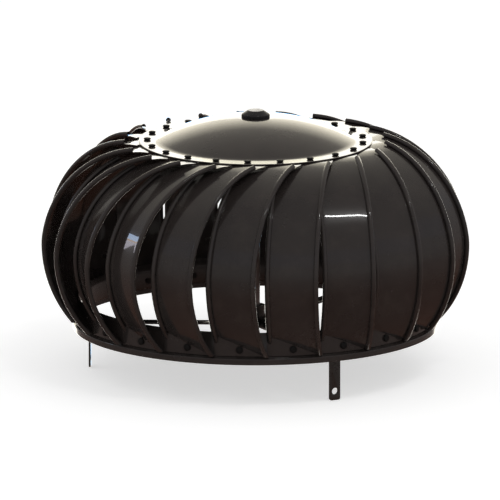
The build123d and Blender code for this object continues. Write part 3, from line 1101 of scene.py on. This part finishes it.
# ---------- the fixed brace
@dataclass
class Brace:
    """Three bent strap legs; millimetres."""

    count: int = 3
    first_angle: float = -61.8
    radius: float = 152.4
    width: float = 11.0
    thickness: float = 2.0
    bend: float = 5.0
    top: float = 43.0
    inner_end: float = 8.0
    hole_radius: float = 3.0
    hole_height: float = 8.4
    corner: float = 2.0

    def build(self, dresser: Dresser) -> None:
        """Models one leg and copies it round the axis.

        Args:
            dresser: Puts the finishes on.
        """
        middle = self.thickness / 2
        turn = arc((self.radius - self.bend, self.top - self.bend), self.bend - middle, 0, 90, 8)
        line = [(self.radius - middle, 0.0), (self.radius - middle, 3.0), *turn,
                (90.0, self.top - middle), (self.inner_end, self.top - middle)]
        strap = trace("strap", [(x, -self.width / 2, z) for x, z in line])
        bpy.ops.mesh.extrude_region_move(
            TRANSFORM_OT_translate={"value": (0, self.width * MM, 0)})
        leave_edit()
        tidy_mesh(strap)
        thicken(strap, self.thickness)
        self.round_foot(strap)
        cut(strap, cylinder(self.hole_radius, 20.0, (self.radius, 0, self.hole_height), 40,
                            (0, math.pi / 2, 0)))
        soften_edges(strap, 0.25, 2, 50)
        smooth(strap, 34)
        names = [f"leg_{number + 1}" for number in range(self.count)]
        copies = ring_copies(strap, [f"strap_{name}" for name in names], self.first_angle)
        for name, copy in zip(names, copies):
            dresser.settle(copy, BRACE_BRONZE, Body.BRACE, [name])

    def round_foot(self, strap: Piece) -> None:
        """Rounds the two lower corners of the foot.

        Args:
            strap: The leg.
        """
        enter_edit(strap, "EDGE")
        bpy.ops.mesh.select_all(action="DESELECT")
        leave_edit()
        mesh = strap.data
        for edge in mesh.edges:
            a, b = (mesh.vertices[i].co for i in edge.vertices)
            edge.select = (a.z < NEAR and b.z < NEAR and abs(a.y - b.y) < NEAR
                           and abs(a.x - b.x) > self.thickness * MM / 2)
            if edge.select:
                for index in edge.vertices:
                    mesh.vertices[index].select = True
        enter_edit_keep(strap)
        bpy.ops.mesh.bevel(offset=self.corner * MM, segments=5, affect="EDGES")
        leave_edit()


# ---------- studio
@dataclass(frozen=True)
class RoomLook:
    """Radiance of each part of the room as the glossy surfaces see it."""

    front: Colour = (0.205, 0.193, 0.188)
    window: Colour = (0.205, 0.203, 0.222)
    low: Colour = (0.10, 0.045, 0.030)
    sky: Colour = (0.36, 0.34, 0.30)
    haze: Colour = (1.7, 1.58, 1.28)
    back: Colour = (2.45, 2.36, 2.15)
    streak: Colour = (0.50, 1.15, 1.9)
    again: Colour = (3.6, 3.4, 2.75)
    ambient: Colour = (0.56, 0.56, 0.56)
    seen: Colour = (1.0, 1.0, 1.0)


@dataclass(frozen=True)
class RoomPlan:
    """Where the parts of the room lie: height is z, depth y and side |x| / y of a direction."""

    low: Span = (-0.45, 0.10)
    window: Band = (0.24, 0.42, 0.04)
    sky_depth: Span = (0.0, 0.8)
    sky_height: Span = (0.15, 0.50)
    crest: float = 0.345
    crest_fall: float = 1.22
    crest_least: float = 0.14
    behind: Band = (-1.0, 0.42, 0.10)
    far: Span = (0.82, 0.95)
    haze: Band = (-0.1, 2.0, 0.02)
    back: Band = (-2.0, -0.012, 0.012)
    streak_height: Band = (-0.30, -0.08, 0.01)
    streak_side: Band = (0.004, 0.05, 0.004)
    again_height: Band = (0.36, 0.80, 0.05)
    again_side: Band = (-1.0, 0.30, 0.05)
    again_bounces: float = 1.5


@dataclass
class Studio:
    """Pale floor, soft lamps and the camera."""

    look: RoomLook = RoomLook()
    plan: RoomPlan = RoomPlan()
    elevation: float = 12.4
    distance: float = 18.0
    frame_width: float = 0.4561
    target: Point = (-0.0051, 0.0, 0.1099)
    floor_glow: float = 0.56
    pane_place: Span = (-0.445, 0.041)
    pane_aim: Span = (-0.114, -0.138)
    pane_drop: float = 0.06
    pane_width: float = 0.024

    def floor(self) -> None:
        """Lays the plain pale floor, which keeps the object's shadow."""
        deselect_everything()
        bpy.ops.mesh.primitive_circle_add(vertices=128, radius=14.0, fill_type="NGON",
                                          location=(0, 0, -0.0002))
        floor = bpy.context.object
        floor.name = "floor"
        material = bpy.data.materials.new("pale_floor")
        graph = SurfaceGraph(material)
        graph.set_even(Roughness=0.9, Specular_IOR_Level=0.1)
        tone = graph.remap(graph.noise(3.0), 0.3, 0.7)
        graph.link(graph.blend(tone, (0.80, 0.80, 0.80), (0.81, 0.81, 0.805)),
                   graph.shader.inputs["Base Color"])
        glow = graph.add("ShaderNodeEmission", Color=(1.0, 1.0, 1.0, 1.0))
        path = graph.add("ShaderNodeLightPath").outputs
        gain = graph.maths("MULTIPLY", path["Is Camera Ray"], self.floor_glow)
        graph.link(gain, glow.inputs["Strength"])
        total = graph.add("ShaderNodeAddShader")
        graph.link(graph.shader.outputs["BSDF"], total.inputs[0])
        graph.link(glow.outputs["Emission"], total.inputs[1])
        graph.link(total.outputs[0], graph.out.inputs["Surface"])
        floor.data.materials.append(material)
        floor.visible_glossy = False

    def world(self) -> None:
        """Makes the room: white to the camera, even to matt surfaces, and banded in reflections."""
        world = bpy.data.worlds.new("room")
        bpy.context.scene.world = world
        graph = Graph(world)
        where = graph.add("ShaderNodeTexCoord").outputs["Generated"]
        split = graph.add("ShaderNodeSeparateXYZ")
        graph.link(where, split.inputs[0])
        x, y, z = split.outputs
        maths = graph.maths
        side = maths("ABSOLUTE", maths("DIVIDE", x, maths("MAXIMUM", y, 0.001)))
        look, plan = self.look, self.plan
        colour = graph.blend(graph.remap(z, *plan.low), look.low, look.front)
        colour = graph.blend(graph.band(z, *plan.window), colour, look.window)
        sky = maths("MULTIPLY", graph.remap(y, *plan.sky_depth), graph.remap(z, *plan.sky_height))
        colour = graph.blend(sky, colour, look.sky)
        slope = maths("SUBTRACT", plan.crest, maths("MULTIPLY", side, plan.crest_fall))
        above = maths("SUBTRACT", z, maths("MAXIMUM", slope, plan.crest_least))
        behind = graph.band(side, *plan.behind)
        haze = maths("MULTIPLY", graph.band(above, *plan.haze), behind)
        colour = graph.blend(maths("MULTIPLY", haze, graph.remap(y, *plan.far)), colour, look.haze)
        colour = graph.blend(maths("MULTIPLY", graph.band(above, *plan.back), behind), colour, look.back)
        streak = maths("MULTIPLY", graph.band(z, *plan.streak_height), graph.band(side, *plan.streak_side))
        colour = graph.blend(streak, colour, look.streak)
        path = graph.add("ShaderNodeLightPath").outputs
        twice = maths("GREATER_THAN", path["Glossy Depth"], plan.again_bounces)
        again = maths("MULTIPLY", graph.band(z, *plan.again_height), graph.band(side, *plan.again_side))
        colour = graph.blend(maths("MULTIPLY", again, twice), colour, look.again)
        seen = self.glow(graph, look.ambient)
        for ray, light in (("Is Glossy Ray", colour), ("Is Camera Ray", look.seen)):
            mix = graph.add("ShaderNodeMixShader")
            for socket, source in zip(mix.inputs, (path[ray], seen, self.glow(graph, light))):
                graph.link(source, socket)
            seen = mix.outputs[0]
        graph.link(seen, graph.add("ShaderNodeOutputWorld").inputs["Surface"])

    def glow(self, graph: Graph, colour: Socket | Colour) -> Socket:
        """Adds a background of one colour at a strength of one.

        Args:
            graph: The world's nodes.
            colour: Its colour.

        Returns:
            The background's light.
        """
        node = graph.add("ShaderNodeBackground", Strength=1.0)
        graph.feed(colour, node.inputs["Color"])
        return node.outputs[0]

    def lamp(self, name: str, place: Point, aim: Point, size: tuple[float, float], power: float,
             colour: Colour = (1.0, 1.0, 1.0), mirrored: bool = True) -> None:
        """Hangs a soft box.

        Args:
            name: Its name.
            place: Where it hangs.
            aim: The point that it faces.
            size: Its width and height in metres.
            power: Watts.
            colour: Its colour.
            mirrored: Whether glossy surfaces mirror it.
        """
        data = bpy.data.lights.new(name, "AREA")
        data.shape = "RECTANGLE"
        data.size, data.size_y = size
        data.energy = power
        data.color = colour
        obj = bpy.data.objects.new(name, data)
        bpy.context.collection.objects.link(obj)
        obj.location = place
        obj.rotation_euler = (Vector(aim) - Vector(place)).to_track_quat("-Z", "Y").to_euler()
        obj.visible_camera = False
        obj.visible_glossy = mirrored

    def panes(self) -> None:
        """Hangs three small tinted lamps one over another, which a vane mirrors as a window."""
        for name, height, tall, radiance, colour in (
                ("pane_top", 0.2400, 0.024, 5.0, (0.55, 0.72, 1.0)),
                ("pane_bar", 0.2245, 0.007, 3.0, (1.0, 0.72, 0.50)),
                ("pane_low", 0.1980, 0.046, 3.3, (0.86, 0.83, 0.95))):
            self.lamp(name, (*self.pane_place, height),
                      (*self.pane_aim, height - self.pane_drop), (self.pane_width, tall),
                      radiance * self.pane_width * tall * math.pi, colour)

    def camera(self) -> None:
        """Stands the camera far off, a little above the level."""
        data = bpy.data.cameras.new("camera")
        data.sensor_width = 36.0
        data.lens = 36.0 * self.distance / self.frame_width
        data.clip_start, data.clip_end = 0.05, 300.0
        camera = bpy.data.objects.new("camera", data)
        bpy.context.collection.objects.link(camera)
        rise = math.radians(self.elevation)
        back = Vector((0, -math.cos(rise), math.sin(rise)))
        camera.location = Vector(self.target) + back * self.distance
        camera.rotation_euler = (-back).to_track_quat("-Z", "Y").to_euler()
        bpy.context.scene.camera = camera

    def build(self) -> None:
        """Sets up the whole studio."""
        bpy.context.scene.view_settings.view_transform = "Standard"
        self.floor()
        self.world()
        self.lamp("key_box", (0.9, -0.9, 2.4), (0, 0, 0.12), (1.2, 1.2), 5.0, mirrored=False)
        self.lamp("bar", (0.606, -1.139, 2.278), (0.04, -0.14, 0.172), (0.40, 0.055), 2.6)
        self.panes()
        self.camera()


def dress_inner_pieces(frame: dict, dresser: Dresser) -> None:
    """Gives the CAD nodes that stay their finishes.

    Args:
        dresser: Puts the finishes on.
    """
    finishes = {
        "hub": BRACE_BRONZE, "hub_rivets": RIVET_BLACK, "hub_pin": ZINC, "shaft": ZINC,
        "shaft_collar": ZINC, "collar_screw": ZINC, "thrust_washer": ZINC, "retaining_clip": ZINC,
        "bearing_housing": ZINC, "upper_bush": SINTERED, "lower_bush": SINTERED,
    }
    for name, finish in finishes.items():
        dresser.put(frame["nodes"][name], finish)
        LOG.info("%s: %s", name, finish.name)


def main() -> None:
    """Builds the whole picture."""
    logging.basicConfig(level=logging.INFO, format="%(message)s")
    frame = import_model()
    dresser = Dresser()
    dress_inner_pieces(frame, dresser)
    VaneRing().build(dresser)
    Crown().build(dresser)
    BaseRing().build(dresser)
    Brace().build(dresser)
    Studio().build()


if __name__ == "__main__":
    main()
